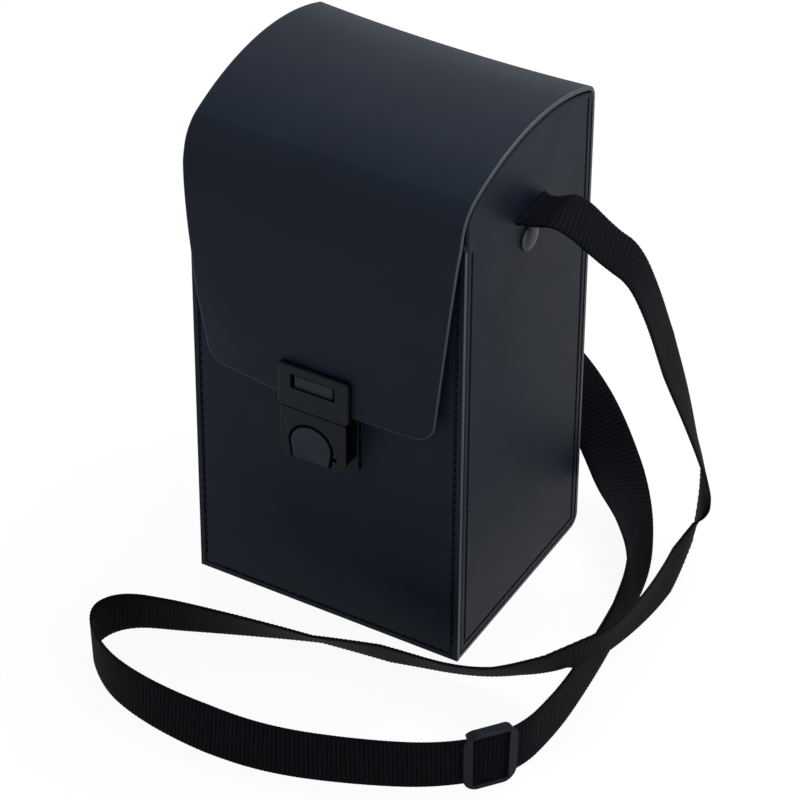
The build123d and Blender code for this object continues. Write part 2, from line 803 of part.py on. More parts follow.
os.makedirs("parts", exist_ok=True)
side_right = side_panel_right()
lining_side = lining_right()
tail_right = strap_end_right()
save("front_panel", front_panel())
save("back_bottom_panel", back_bottom_panel())
save("side_panel_right", side_right)
save("side_panel_left", mirrored(side_right))
save("front_board", front_board())
save("back_board", back_board())
save("bottom_board", bottom_board())
save("lining_front", lining_front())
save("lining_back", lining_back())
save("lining_right", lining_side)
save("lining_left", mirrored(lining_side))
save("bottom_pad", bottom_pad())
save("lid_panel", lid_panel())
save("lid_lining", lid_lining())
save("lock_base_plate", lock_base_plate())
save("lock_backing_plate", lock_backing_plate())
save("lock_housing", lock_housing())
save("lock_rivets", lock_rivets())
save("button_pin", button_pin())
save("button_spring", button_spring())
save("thumb_button", thumb_button())
save("hasp_plate", hasp_plate())
save("hasp_backing_plate", hasp_backing_plate())
save("hasp_rivets", hasp_rivets())
save("strap_rivets", pair(strap_rivet_right()))
save("strap_washers", pair(strap_washer_right()))
save("strap_end_right", tail_right)
save("strap_end_left", mirrored(tail_right))
save("shoulder_strap", shoulder_strap())
save("strap_slider", strap_slider())
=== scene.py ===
import math

import bmesh
import bpy
import numpy as np
from mathutils import Matrix, Vector


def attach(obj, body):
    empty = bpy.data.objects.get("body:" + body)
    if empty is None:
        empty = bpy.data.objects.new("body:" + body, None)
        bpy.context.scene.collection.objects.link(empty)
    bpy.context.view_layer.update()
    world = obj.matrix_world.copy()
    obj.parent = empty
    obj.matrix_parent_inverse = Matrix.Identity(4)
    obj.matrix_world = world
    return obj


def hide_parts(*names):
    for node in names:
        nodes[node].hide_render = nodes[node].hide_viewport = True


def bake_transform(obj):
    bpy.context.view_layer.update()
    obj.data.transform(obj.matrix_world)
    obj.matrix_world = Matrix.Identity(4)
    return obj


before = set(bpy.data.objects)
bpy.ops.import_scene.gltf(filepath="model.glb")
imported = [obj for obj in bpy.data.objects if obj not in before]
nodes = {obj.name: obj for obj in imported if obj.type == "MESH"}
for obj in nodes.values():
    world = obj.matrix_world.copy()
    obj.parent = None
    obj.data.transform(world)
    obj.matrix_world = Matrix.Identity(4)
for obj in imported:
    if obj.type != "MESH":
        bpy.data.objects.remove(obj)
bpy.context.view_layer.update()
mm = 0.001

# ---- dimensions, in millimetres; they repeat those of the CAD part ---------------------
side_x = 66.0
front_y = -56.0
back_y = 56.0
sheet = 2.0
front_top = 222.5
back_top = 227.85
hinge_z = 228.0
lid_end_z = 228.15
crown_radius = 125.0
crown_top = 250.2
flap_y = -64.0
flap_radius = 160.0
flap_straight = 188.0
flap_bottom = 121.1
shoulder_radius = 18.0
back_radius = 9.0
taper_start = 222.0
taper = 10.6
flap_corner = 8.5
notch_half = 10.6
notch_top = 137.1
web_width = 25.0
web_thickness = 1.5
rivet_y = -0.8
rivet_z = 194.2

# How the soft sheet departs from its nominal shape.
crown_sag = 2.2           # the lid's back edge hangs this low in the middle
flap_flat_half = 18.0     # the flap is flat this far each side of its middle
flap_right_bow = 2.4      # its right edge lies this far behind the middle
flap_left_bow = 0.84      # its left edge does so in the upper half
flap_left_droop = 4.08    # and this much more at the lower corner
flap_left_lift = 1.6      # the lower edge rises by this towards the left corner
# Where each of these begins and where it is complete.
sag_along_y = (-45.0, 50.0)
sag_along_z = (229.0, 235.0)
bow_along_z = (225.0, 195.0)
droop_along_z = (165.0, 120.0)
lift_along_x = (0.0, -45.0)
lift_along_z = (160.0, 125.0)

strap_route = [
    (68.0, 0.0, 207.7),
    (72.0, 0.0, 207.7),
    (84.0, 0.5, 213.0),
    (100.0, 8.0, 194.5),
    (109.0, 12.5, 187.0),
    (117.5, 15.0, 167.0),
    (121.5, 23.5, 138.0),
    (125.0, 38.0, 102.0),
    (126.0, 55.0, 62.0),
    (124.0, 69.0, 34.0),
    (123.0, 60.0, 15.0),
    (125.5, 34.0, 13.0),
    (129.0, 6.0, 18.5),
    (132.5, -25.0, 28.5),
    (134.0, -53.0, 38.0),
    (123.0, -69.0, 36.0),
    (101.0, -70.5, 21.0),
    (77.0, -73.0, 12.5),
    (45.0, -77.5, 11.4),
    (14.0, -84.0, 11.0),
    (-12.0, -92.0, 12.0),
    (-46.0, -103.0, 12.8),
    (-71.0, -112.0, 13.0),
    (-77.5, -130.0, 13.0),
    (-58.0, -149.0, 13.0),
    (-34.0, -157.0, 13.0),
    (-2.0, -160.0, 13.0),
    (32.0, -157.5, 12.8),
    (70.0, -145.0, 13.6),
    (101.0, -131.0, 15.0),
    (123.0, -108.0, 15.0),
    (125.5, -76.0, 13.6),
    (123.5, -46.0, 13.0),
    (120.0, -14.0, 13.0),
    (114.5, 18.0, 13.0),
    (100.0, 48.0, 13.2),
    (78.0, 74.0, 19.0),
    (57.0, 85.0, 42.0),
    (35.0, 89.0, 62.0),
    (8.0, 90.0, 77.0),
    (-20.0, 86.0, 90.0),
    (-50.0, 78.0, 106.0),
    (-76.0, 64.0, 126.0),
    (-91.0, 44.0, 148.0),
    (-97.0, 24.0, 170.0),
    (-96.0, 9.0, 192.0),
    (-84.0, 0.0, 207.7),
    (-68.0, 0.0, 207.7),
]
# Direction across the webbing at some of the route's points, by their number.
web_across = {
    0: (0.0, 1.0, 0.0),
    1: (0.0, 1.0, 0.0),
    3: (-0.3, 0.93, 0.15),
    6: (-0.3, 0.92, 0.23),
    8: (-0.6, 0.72, 0.35),
    9: (-0.55, 0.8, 0.1),
    10: (-0.2, 0.6, -0.6),
    11: (0.0, 0.0, -1.0),
    13: (-0.26, -0.3, -0.93),
    14: (-0.4, -0.1, -0.9),
    15: (0.0, 0.62, -0.75),
    16: (0.2, 0.75, -0.62),
    18: (0.0, 0.56, -0.83),
    19: (-0.22, 0.66, -0.72),
    21: (-0.1, 0.3, -0.95),
    24: (0.0, 0.0, -1.0),
    26: (0.0, -0.14, -0.99),
    29: (0.0, 0.0, -1.0),
    33: (0.0, 0.0, -1.0),
    34: (0.2, 0.06, -0.97),
    35: (0.58, 0.42, -0.7),
    36: (0.67, 0.74, 0.0),
    37: (0.6, 0.75, 0.27),
    39: (0.1, 1.0, 0.05),
    43: (0.2, 0.9, 0.3),
    45: (0.3, 0.93, 0.15),
    47: (0.0, 1.0, 0.0),
}
slider_run = 29
slider_share = 0.66


def add_object(name, data):
    thing = bpy.data.objects.new(name, data)
    bpy.context.scene.collection.objects.link(thing)
    return thing


# ---- camera ------------------------------------------------------------------------------
def make_camera():
    place = Vector((672.70, -1174.53, 1128.35)) * mm
    right = Vector((0.86700, 0.49827, 0.00554))
    up = Vector((-0.30864, 0.52824, 0.79102))
    back = Vector((0.39121, -0.68752, 0.61177))
    data = bpy.data.cameras.new("camera")
    data.sensor_width = 36.0
    data.lens = 174.67
    data.clip_start = 0.05
    data.clip_end = 20.0
    camera = add_object("camera", data)
    turn = Matrix((right, up, back)).transposed().to_4x4()
    camera.matrix_world = Matrix.Translation(place) @ turn
    bpy.context.scene.camera = camera


# ---- shader helpers ----------------------------------------------------------------------
def new_material(name):
    material = bpy.data.materials.new(name)
    material.use_nodes = True
    tree = material.node_tree
    return material, tree, tree.nodes["Principled BSDF"]


def set_sockets(node, **values):
    """Set a node's inputs by their names, an underscore standing for a space."""
    for key, value in values.items():
        node.inputs[key.replace("_", " ")].default_value = value


def add_node(tree, kind, **values):
    node = tree.nodes.new(kind)
    set_sockets(node, **values)
    return node


def place_in(tree):
    """The place on the piece, in its own coordinates in metres."""
    return tree.nodes.new("ShaderNodeTexCoord").outputs["Object"]


def noise(tree, vector, scale, detail=2.0, roughness=0.5):
    node = add_node(tree, "ShaderNodeTexNoise", Scale=scale, Detail=detail, Roughness=roughness)
    tree.links.new(vector, node.inputs["Vector"])
    return node.outputs["Fac"]


def tint(tree, shader, pattern, dark_and_light, spread=0.2):
    """Base colour from the dark tone to the light one, by a noise pattern about 0.5."""
    node = tree.nodes.new("ShaderNodeValToRGB")
    spots = (0.5 - spread, 0.5 + spread)
    for element, spot, tone in zip(node.color_ramp.elements, spots, dark_and_light):
        element.position = spot
        element.color = (*tone, 1.0)
    tree.links.new(pattern, node.inputs["Fac"])
    tree.links.new(node.outputs["Color"], shader.inputs["Base Color"])


def dull(tree, shader, pattern, low, high):
    """Roughness between two values, by a noise pattern."""
    node = tree.nodes.new("ShaderNodeMapRange")
    set_sockets(node, To_Min=low, To_Max=high)
    tree.links.new(pattern, node.inputs["Value"])
    tree.links.new(node.outputs["Result"], shader.inputs["Roughness"])


def bump(tree, shader, height, strength, distance, under=None):
    """Relief on the shader, on top of another relief where one is given."""
    node = add_node(tree, "ShaderNodeBump", Strength=strength, Distance=distance)
    tree.links.new(height, node.inputs["Height"])
    if under:
        tree.links.new(under, node.inputs["Normal"])
    tree.links.new(node.outputs["Normal"], shader.inputs["Normal"])
    return node.outputs["Normal"]


# ---- materials ---------------------------------------------------------------------------
# Dark and light tone of each finish, linear; the tone for the lock's sides and the tone for the
# webbing's furrows are painted shade.
tones = {
    "leather": ((0.0046, 0.0076, 0.0136), (0.0060, 0.0097, 0.0172)),
    "raw_edge": ((0.009, 0.013, 0.017), (0.019, 0.026, 0.033)),
    "lock_plastic": ((0.0060, 0.0078, 0.0095), (0.0085, 0.0105, 0.0125)),
    # painted shade for the lock's sides, recesses and gaps
    "lock_plastic_painted_shade": ((0.0010, 0.0013, 0.0018), (0.0016, 0.0020, 0.0027)),
    "button_plastic": ((0.015, 0.0175, 0.025), (0.019, 0.022, 0.030)),
    "slider_plastic": ((0.0052, 0.0064, 0.0098), (0.0080, 0.0095, 0.0140)),
    "steel": ((0.42, 0.42, 0.43), (0.55, 0.55, 0.56)),
    "nickel": ((0.058, 0.063, 0.076), (0.082, 0.088, 0.104)),
    "lining_cloth": ((0.020, 0.020, 0.023), (0.042, 0.042, 0.048)),
    "felt": ((0.016, 0.016, 0.018), (0.038, 0.038, 0.042)),
    "fibreboard": ((0.20, 0.15, 0.10), (0.34, 0.26, 0.18)),
    "webbing": ((0.0012, 0.0016, 0.0026), (0.0038, 0.0049, 0.0072)),
    "webbing_furrow_painted_shade": ((0.0003, 0.0003, 0.0006), (0.0007, 0.0008, 0.0012)),
    "thread": ((0.0012, 0.0013, 0.0016), (0.0030, 0.0032, 0.0040)),
}


def leather():
    """Smooth black leatherboard with a fine closed grain and a bluish cast."""
    material, tree, shader = new_material("leather")
    spot = place_in(tree)
    tint(tree, shader, noise(tree, spot, 22.0, 3.0), tones["leather"])
    dull(tree, shader, noise(tree, spot, 60.0, 4.0), 0.46, 0.56)
    cells = add_node(tree, "ShaderNodeTexVoronoi", Scale=1500.0)
    tree.links.new(spot, cells.inputs["Vector"])
    grain = bump(tree, shader, cells.outputs["Distance"], 0.10, 0.00008)
    bump(tree, shader, noise(tree, spot, 45.0), 0.12, 0.0006, grain)
    set_sockets(shader, Specular_IOR_Level=0.075)
    return material


def raw_edge():
    """Cut edge of the board: lighter, dull and a little fibrous."""
    material, tree, shader = new_material("raw_edge")
    fibre = noise(tree, place_in(tree), 900.0, 4.0, 0.6)
    tint(tree, shader, fibre, tones["raw_edge"])
    dull(tree, shader, fibre, 0.45, 0.65)
    bump(tree, shader, fibre, 0.2, 0.0001)
    return material


def moulded(name, low, high, shine=0.08):
    """Moulded plastic with a fine spark-eroded texture."""
    material, tree, shader = new_material(name)
    spot = place_in(tree)
    cloud = noise(tree, spot, 120.0, 3.0)
    tint(tree, shader, cloud, tones[name])
    dull(tree, shader, cloud, low, high)
    bump(tree, shader, noise(tree, spot, 3500.0), 0.08, 0.00004)
    set_sockets(shader, Specular_IOR_Level=shine)
    return material


def metal(name, low, high):
    """Metal with a slightly uneven finish."""
    material, tree, shader = new_material(name)
    cloud = noise(tree, place_in(tree), 400.0, 4.0)
    tint(tree, shader, cloud, tones[name], 0.15)
    dull(tree, shader, cloud, low, high)
    bump(tree, shader, cloud, 0.03, 0.00003)
    set_sockets(shader, Metallic=1.0)
    return material


def cloth(name, scale):
    """Short-napped lining cloth or felt."""
    material, tree, shader = new_material(name)
    nap = noise(tree, place_in(tree), scale, 5.0, 0.7)
    tint(tree, shader, nap, tones[name])
    bump(tree, shader, nap, 0.5, 0.0004)
    set_sockets(shader, Roughness=0.92, Sheen_Weight=0.25, Sheen_Roughness=0.4)
    return material


def fibreboard():
    material, tree, shader = new_material("fibreboard")
    fibre = noise(tree, place_in(tree), 350.0, 5.0, 0.65)
    tint(tree, shader, fibre, tones["fibreboard"])
    bump(tree, shader, fibre, 0.3, 0.0002)
    set_sockets(shader, Roughness=0.85)
    return material


def webbing(name):
    """Black webbing; its ribs are in the mesh, its yarns are in the bump."""
    material, tree, shader = new_material(name)
    fuzz = noise(tree, place_in(tree), 1300.0, 4.0, 0.6)
    tint(tree, shader, fuzz, tones[name])
    bump(tree, shader, fuzz, 0.35, 0.00015)
    set_sockets(shader, Roughness=0.75, Specular_IOR_Level=0.04, Sheen_Weight=0.012,
                Sheen_Roughness=0.35)
    return material


def thread():
    material, tree, shader = new_material("thread")
    twist = noise(tree, place_in(tree), 2500.0, 3.0)
    tint(tree, shader, twist, tones["thread"])
    bump(tree, shader, twist, 0.3, 0.0001)
    set_sockets(shader, Roughness=0.7, Specular_IOR_Level=0.05)
    return material


paint = {
    "leather": leather(),
    "raw_edge": raw_edge(),
    "lock": moulded("lock_plastic", 0.34, 0.46),
    # painted shade on the lock's sides, recesses and gaps: a darker, duller copy of its plastic
    "lock_side_painted_shade": moulded("lock_plastic_painted_shade", 0.5, 0.6, shine=0.02),
    "button": moulded("button_plastic", 0.34, 0.46),
    "slider": moulded("slider_plastic", 0.3, 0.42),
    "steel": metal("steel", 0.3, 0.45),
    "nickel": metal("nickel", 0.5, 0.6),
    "lining": cloth("lining_cloth", 900.0),
    "felt": cloth("felt", 600.0),
    "board": fibreboard(),
    "webbing": webbing("webbing"),
    # painted shade in the furrows between the webbing's ribs: a darker copy of the webbing
    "furrow_shade": webbing("webbing_furrow_painted_shade"),
    "thread": thread(),
}


# ---- mesh helpers ------------------------------------------------------------------------
def add_piece(name, mesh, materials, body=None):
    """Put a smooth-shaded mesh in the scene; it rides on a body where one is given."""
    for material in materials:
        mesh.materials.append(material)
    mesh.shade_smooth()
    piece = add_object(name, mesh)
    if body:
        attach(piece, body)
    return piece


def piece_from(name, verts, faces, materials, body=None, second=()):
    """A new piece in the case's frame; the faces listed in second get the second material."""
    mesh = bpy.data.meshes.new(name)
    mesh.from_pydata([tuple(v) for v in verts], [], faces)
    for number in second:
        mesh.polygons[number].material_index = 1
    mesh.update()
    return add_piece(name, mesh, materials, body)


def finish_mesh(name, shape, materials, body):
    """A new piece from an edited shape; its flat faces keep flat shading."""
    mesh = bpy.data.meshes.new(name)
    shape.to_mesh(mesh)
    shape.free()
    piece = add_piece(name, mesh, materials, body)
    shading = piece.modifiers.new("shading", "WEIGHTED_NORMAL")
    shading.keep_sharp = True
    return piece


def bare_mesh(node):
    """Corners and faces of a CAD node, its flat faces whole again."""
    source = nodes[node].data
    shape = bmesh.new()
    corners = [shape.verts.new(v.co) for v in source.vertices]
    for polygon in source.polygons:
        shape.faces.new([corners[i] for i in polygon.vertices])
    bmesh.ops.remove_doubles(shape, verts=shape.verts, dist=0.005 * mm)
    bmesh.ops.dissolve_limit(shape, angle_limit=math.radians(0.5),
                             verts=shape.verts, edges=shape.edges)
    return shape


def hard_edges(shape, sharpest):
    """Edges that turn more than the given angle, in degrees."""
    return [edge for edge in shape.edges if len(edge.link_faces) == 2
            and edge.calc_face_angle() > math.radians(sharpest)]


def round_edges(shape, width, segments=2, sharpest=30.0, material=-1):
    """Round every hard edge, as wide as its neighbours allow."""
    bmesh.ops.bevel(shape, geom=hard_edges(shape, sharpest), offset=width * mm,
                    segments=segments, profile=0.5, affect="EDGES", clamp_overlap=True,
                    material=material)


def round_front(shape, width, segments=4):
    """Round only the edges of the foremost face."""
    front = min(v.co.y for v in shape.verts) + 0.05 * mm
    rim = [edge for edge in hard_edges(shape, 30.0) if all(v.co.y < front for v in edge.verts)]
    bmesh.ops.bevel(shape, geom=rim, offset=width * mm, segments=segments, profile=0.5,
                    affect="EDGES", clamp_overlap=False)


def tube_faces(first, rings, around):
    """Faces of a capped tube whose rings of vertices follow one another from the first."""
    faces = []
    for i in range(rings - 1):
        for j in range(around):
            a = first + i * around + j
            b = first + i * around + (j + 1) % around
            faces.append((a, b, b + around, a + around))
    last = first + (rings - 1) * around
    faces.append(tuple(first + j for j in reversed(range(around))))
    faces.append(tuple(last + j for j in range(around)))
    return faces


# ---- strap -------------------------------------------------------------------------------
rib_pitch = 2.0
rib_depth = 0.16
furrow_shade_share = 0.44       # of each rib's length, darker as painted shade in the furrow
ring_step = 0.5


def strap_line():
    """Points of the smooth line that has the route's points as its control points."""
    curve = bpy.data.curves.new("strap_line", "CURVE")
    curve.dimensions = "3D"
    curve.resolution_u = 24
    spline = curve.splines.new("NURBS")
    spline.points.add(len(strap_route) - 1)
    for point, place in zip(spline.points, strap_route):
        point.co = (*[value * mm for value in place], 1.0)
    spline.order_u = 3
    spline.use_endpoint_u = True
    guide = bpy.data.objects.new("strap_line", curve)
    mesh = bpy.data.meshes.new_from_object(guide)
    line = np.array([v.co for v in mesh.vertices])
    bpy.data.objects.remove(guide)
    bpy.data.curves.remove(curve)
    bpy.data.meshes.remove(mesh)
    return line


def lengths_along(line):
    steps = np.linalg.norm(np.diff(line, axis=0), axis=1)
    return np.concatenate(([0.0], np.cumsum(steps)))


def route_shares():
    """Share of the route's length at each of its points."""
    along = lengths_along(np.array(strap_route))
    return along / along[-1]


def row_between(spots, marks, table):
    """A table's rows, taken between its marks at the given spots."""
    return np.stack([np.interp(spots, marks, table[:, k]) for k in range(3)], axis=1)


def unit(rows):
    return rows / np.linalg.norm(rows, axis=1)[:, None]


def strap_frames(line, along, spots):
    """Place, width direction and outward direction at distances along the line."""
    places = row_between(spots, along, line)
    heading = unit(row_between(spots + mm, along, line) - row_between(spots - mm, along, line))
    marks = sorted(web_across)
    table = np.array([web_across[mark] for mark in marks])
    wide = row_between(spots / along[-1], route_shares()[marks], table)
    wide = unit(wide - heading * np.sum(wide * heading, axis=1)[:, None])
    return places, wide, np.cross(heading, wide)


def web_profile():
    """The webbing's outline, as rows of (across, out), with rounded selvages."""
    half = web_width / 2
    thick = web_thickness / 2
    edge = [(half - 0.05, 0.0), (half - 0.25, 0.62 * thick), (half - 0.8, thick)]
    inner = [(x, thick) for x in (9.0, 6.0, 3.0, 0.0, -3.0, -6.0, -9.0)]
    other = [(-x, y) for x, y in reversed(edge)]
    upper = edge + inner + other
    lower = [(x, -y) for x, y in reversed(upper[1:-1])]
    return np.array(upper + lower) * mm


def make_strap():
    """The webbing, ribbed across, with painted shade in the furrows between its ribs."""
    line = strap_line()
    along = lengths_along(line)
    count = round(along[-1] / (ring_step * mm))
    spots = np.linspace(0.0, along[-1], count + 1)
    places, wide, out = strap_frames(line, along, spots)
    profile = web_profile()
    around = len(profile)
    ribs = 1.0 - rib_depth * (1 - np.cos(2 * math.pi * spots / (rib_pitch * mm)))
    rings = (places[:, None, :]
             + wide[:, None, :] * profile[None, :, 0, None]
             + out[:, None, :] * profile[None, :, 1, None] * ribs[:, None, None])
    phases = (spots[:-1] + 0.5 * ring_step * mm) / (rib_pitch * mm) % 1.0
    shaded_furrows = [i * around + j for i in np.flatnonzero(abs(phases - 0.5) < furrow_shade_share / 2)
               for j in range(around)]
    strap = piece_from("strap_webbing", rings.reshape(-1, 3), tube_faces(0, count + 1, around),
                       [paint["webbing"], paint["furrow_shade"]], "case", shaded_furrows)
    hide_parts("shoulder_strap")
    return strap, line, along


def make_slider(line, along):
    """Three-bar slider, curved with the webbing that runs through it."""
    start = Vector(strap_route[slider_run]) * mm
    run = Vector(strap_route[slider_run + 1]) * mm - start
    centre = start + run * slider_share
    run.normalize()
    outward = run.cross(Vector((0, 0, 1)))
    nearest = int(np.argmin(np.linalg.norm(line - np.array(centre), axis=1)))
    shape = bare_mesh("strap_slider")
    round_edges(shape, width=0.35)
    bmesh.ops.triangulate(shape, faces=shape.faces)
    corners = list(shape.verts)
    local = np.array([((v.co - centre).dot(run), v.co.z - centre.z,
                       (v.co - centre).dot(outward)) for v in corners])
    places, wide, out = strap_frames(line, along, along[nearest] + local[:, 0])
    side = np.sign(out @ np.array(outward))[:, None]
    moved = places - wide * local[:, 1][:, None] + out * side * local[:, 2][:, None]
    for corner, spot in zip(corners, moved):
        corner.co = spot
    slider = finish_mesh("slider_moulded", shape, [paint["slider"]], "case")
    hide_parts("strap_slider")
    return slider


# ---- lid ---------------------------------------------------------------------------------
corner_angles = (45, 52, 60, 70, 80, 90)    # of the rows in the flap's round corners
rows_above_corner = (132.0, 134.5)          # heights of those from there to the notch's top
notch_columns = 10
lining_front = -50.0
lining_back = 50.5
lining_half = 61.0
lining_thickness = 1.0
glue = 0.02               # between the sheet and its lining


def arc(centre, radius, start, end, count):
    """Points of an arc in the (y, z) plane, without its first point."""
    angles = [start + (end - start) * i / count for i in range(1, count + 1)]
    return [(centre[0] + radius * math.cos(a), centre[1] + radius * math.sin(a)) for a in angles]


def lid_profile():
    """The lid's outside from the flap's lower edge over the top to the fold."""
    crown = (0.0, crown_top - crown_radius)
    bow = (flap_y + flap_radius, flap_straight)
    reach_crown = crown_radius - shoulder_radius
    reach_bow = flap_radius - shoulder_radius
    dy = bow[0] - crown[0]
    dz = bow[1] - crown[1]
    apart = math.hypot(dy, dz)
    along_line = (reach_crown ** 2 - reach_bow ** 2 + apart ** 2) / (2 * apart)
    off_line = math.sqrt(reach_crown ** 2 - along_line ** 2)
    shoulder = (crown[0] + (along_line * dy - off_line * dz) / apart,
                crown[1] + (along_line * dz + off_line * dy) / apart)
    turn_bow = math.atan2(shoulder[1] - bow[1], shoulder[0] - bow[0])
    turn_crown = math.atan2(shoulder[1] - crown[1], shoulder[0] - crown[0])
    back = (back_y - back_radius,
            crown[1] + math.sqrt((crown_radius - back_radius) ** 2
                                 - (back_y - back_radius - crown[0]) ** 2))
    turn_back = math.atan2(back[1] - crown[1], back[0] - crown[0])
    corner = [flap_corner * (1 - math.cos(math.radians(a))) for a in corner_angles]
    points = [(flap_y, flap_bottom + rise) for rise in corner]
    points += [(flap_y, z) for z in rows_above_corner]
    points += [(flap_y, z) for z in np.linspace(notch_top, flap_straight, 15)]
    points += arc(bow, flap_radius, math.pi, turn_bow, 14)
    points += arc(shoulder, shoulder_radius, turn_bow, turn_crown, 12)
    points += arc(crown, crown_radius, turn_crown, turn_back, 40)
    points += arc(back, back_radius, turn_back, 0.0, 8)
    points.append((back_y, (points[-1][1] + lid_end_z) / 2))
    points.append((back_y, lid_end_z))
    return points


def flap_half_width(y, z):
    """Half width of the lid at a place on its outline."""
    if y > 0 or z > taper_start:
        return side_x
    half = side_x - taper * (taper_start - z) / (taper_start - flap_bottom)
    rise = z - flap_bottom
    if rise < flap_corner:
        half -= flap_corner - math.sqrt(flap_corner ** 2 - (flap_corner - rise) ** 2)
    return half


def flap_low_edge(x, half):
    """Height of the flap's lower edge, which rises into its two corners."""
    straight = half - flap_corner * math.sin(math.radians(corner_angles[0]))
    reach = max(abs(x) - straight, 0.0)
    return flap_bottom + flap_corner - math.sqrt(flap_corner ** 2 - reach ** 2)


def fade(value, start, end):
    """0 at the start and 1 at the end, smooth between them."""
    share = min(max((value - start) / (end - start), 0.0), 1.0)
    return share * share * (3 - 2 * share)


def relaxed(x, y, z):
    """Where the soft sheet really lies: sagging at the top, bowed across the flap."""
    if z > flap_straight:
        across = abs(x) / side_x
        z -= crown_sag * (1 - across ** 2.2) * fade(y, *sag_along_y) * fade(z, *sag_along_z)
    if y < 0:
        outer = max(abs(x) - flap_flat_half, 0.0) / (side_x - flap_flat_half)
        bow = flap_right_bow
        if x < 0:
            bow = flap_left_bow + flap_left_droop * fade(z, *droop_along_z)
            z += flap_left_lift * fade(x, *lift_along_x) * fade(z, *lift_along_z)
        y += bow * outer ** 1.4 * fade(z, *bow_along_z)
    return Vector((x, y, z))


def lid_columns(half):
    """Places across the lid, closer together near its sides.

    They are even in the middle, so that the notch has straight sides.
    """
    middle = notch_columns // 2
    inner = [notch_half * i / middle for i in range(-middle, middle + 1)]
    count = 16
    outer = [notch_half + (half - notch_half) * (1 - (1 - i / count) ** 1.3)
             for i in range(1, count + 1)]
    return [-x for x in reversed(outer)] + inner + outer


def thick_sheet(name, grid, keep, thickness, rounding, materials):
    """A sheet on the lid from a grid of outside points; its rim gets the second material."""
    rows = len(grid)
    columns = len(grid[0])
    points = np.array([[tuple(p) for p in row] for row in grid])
    normal = np.cross(np.gradient(points, axis=1), np.gradient(points, axis=0))
    normal /= np.linalg.norm(normal, axis=2)[:, :, None]
    inside = points - normal * thickness

    def kept(row, column):
        return 0 <= row < rows - 1 and 0 <= column < columns - 1 and keep(row, column)

    shape = bmesh.new()
    outer = {}
    inner = {}
    for i in range(rows):
        for j in range(columns):
            if any(kept(i - a, j - b) for a in (0, 1) for b in (0, 1)):
                outer[i, j] = shape.verts.new(points[i, j] * mm)
                inner[i, j] = shape.verts.new(inside[i, j] * mm)
    for i in range(rows - 1):
        for j in range(columns - 1):
            if not kept(i, j):
                continue
            ring = [(i, j), (i, j + 1), (i + 1, j + 1), (i + 1, j)]
            shape.faces.new([outer[k] for k in ring])
            shape.faces.new([inner[k] for k in reversed(ring)])
            beside = [(i - 1, j), (i, j + 1), (i + 1, j), (i, j - 1)]
            for number, (row, column) in enumerate(beside):
                if not kept(row, column):
                    a, b = ring[number], ring[(number + 1) % 4]
                    rim = shape.faces.new([outer[b], outer[a], inner[a], inner[b]])
                    rim.material_index = 1
    bmesh.ops.recalc_face_normals(shape, faces=shape.faces)
    round_edges(shape, rounding, segments=3, sharpest=50.0, material=1)
    return finish_mesh(name, shape, materials, "lid")


def make_lid():
    """Crown and flap in one sheet, with the notch for the lock in its lower edge."""
    profile = lid_profile()
    grid = []
    for number, (y, z) in enumerate(profile):
        half = flap_half_width(y, z)
        grid.append([relaxed(x, y, z if number else flap_low_edge(x, half))
                     for x in lid_columns(half)])
    first = (len(grid[0]) - notch_columns) // 2
    notch_rows = [i for i, (y, z) in enumerate(profile) if y < 0 and z < notch_top - 0.01]

    def keep(row, column):
        return row not in notch_rows or not first <= column < first + notch_columns

    lid = thick_sheet("lid_sheet", grid, keep, thickness=sheet, rounding=0.48,
                      materials=[paint["leather"], paint["raw_edge"]])
    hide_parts("lid_panel")


def make_lid_lining():
    """The lining glued inside the lid; it sags with the sheet."""
    profile = np.array(lid_profile())
    slope = unit(np.gradient(profile, axis=0))
    inside = profile + np.stack([slope[:, 1], -slope[:, 0]], axis=1) * (sheet + glue)
    top = profile[:, 1] > flap_straight
    places = np.linspace(lining_front, lining_back, 48)
    heights, outer_y, outer_z = (np.interp(places, inside[top, 0], values[top])
                                 for values in (inside[:, 1], profile[:, 0], profile[:, 1]))
    across = np.linspace(-lining_half, lining_half, 41)
    grid = [[Vector((x, y, z)) + relaxed(x, over_y, over_z) - Vector((x, over_y, over_z))
             for x in across]
            for y, z, over_y, over_z in zip(places, heights, outer_y, outer_z)]
    lining = thick_sheet("lid_lining_cloth", grid, lambda row, column: True,
                         thickness=lining_thickness, rounding=0.2,
                         materials=[paint["lining"], paint["lining"]])
    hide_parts("lid_lining")


def make_fold():
    """Thin outer skin of the sheet, unbroken across the fold."""
    reach = 3.6               # above and below the fold
    thick = 0.28
    proud = 0.03              # its rim stands this far off its inside
    sunk = 0.02               # and its inside lies this deep in the sheet
    half = side_x - 0.4
    rows, columns = 36, 12
    verts = []
    for outside in (1, 0):
        for i in range(rows + 1):
            share = 2 * i / rows - 1
            y = back_y - sunk + (proud + thick * (1 - share ** 4)) * outside
            z = hinge_z + reach * share
            verts += [Vector((half * (2 * j / columns - 1), y, z)) * mm
                      for j in range(columns + 1)]
    wide = columns + 1
    layer = (rows + 1) * wide
    faces = []
    for i in range(rows):
        for j in range(columns):
            a = i * wide + j
            ring = (a, a + wide, a + wide + 1, a + 1)
            faces.append(ring)
            faces.append(tuple(layer + k for k in reversed(ring)))
    rim = list(range(wide))
    rim += [i * wide + columns for i in range(1, rows + 1)]
    rim += [rows * wide + j for j in range(columns - 1, -1, -1)]
    rim += [i * wide for i in range(rows - 1, 0, -1)]
    for a, b in zip(rim, rim[1:] + rim[:1]):
        faces.append((a, b, layer + b, layer + a))
    skin = piece_from("fold_skin", verts, faces, [paint["leather"]])
    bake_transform(skin)


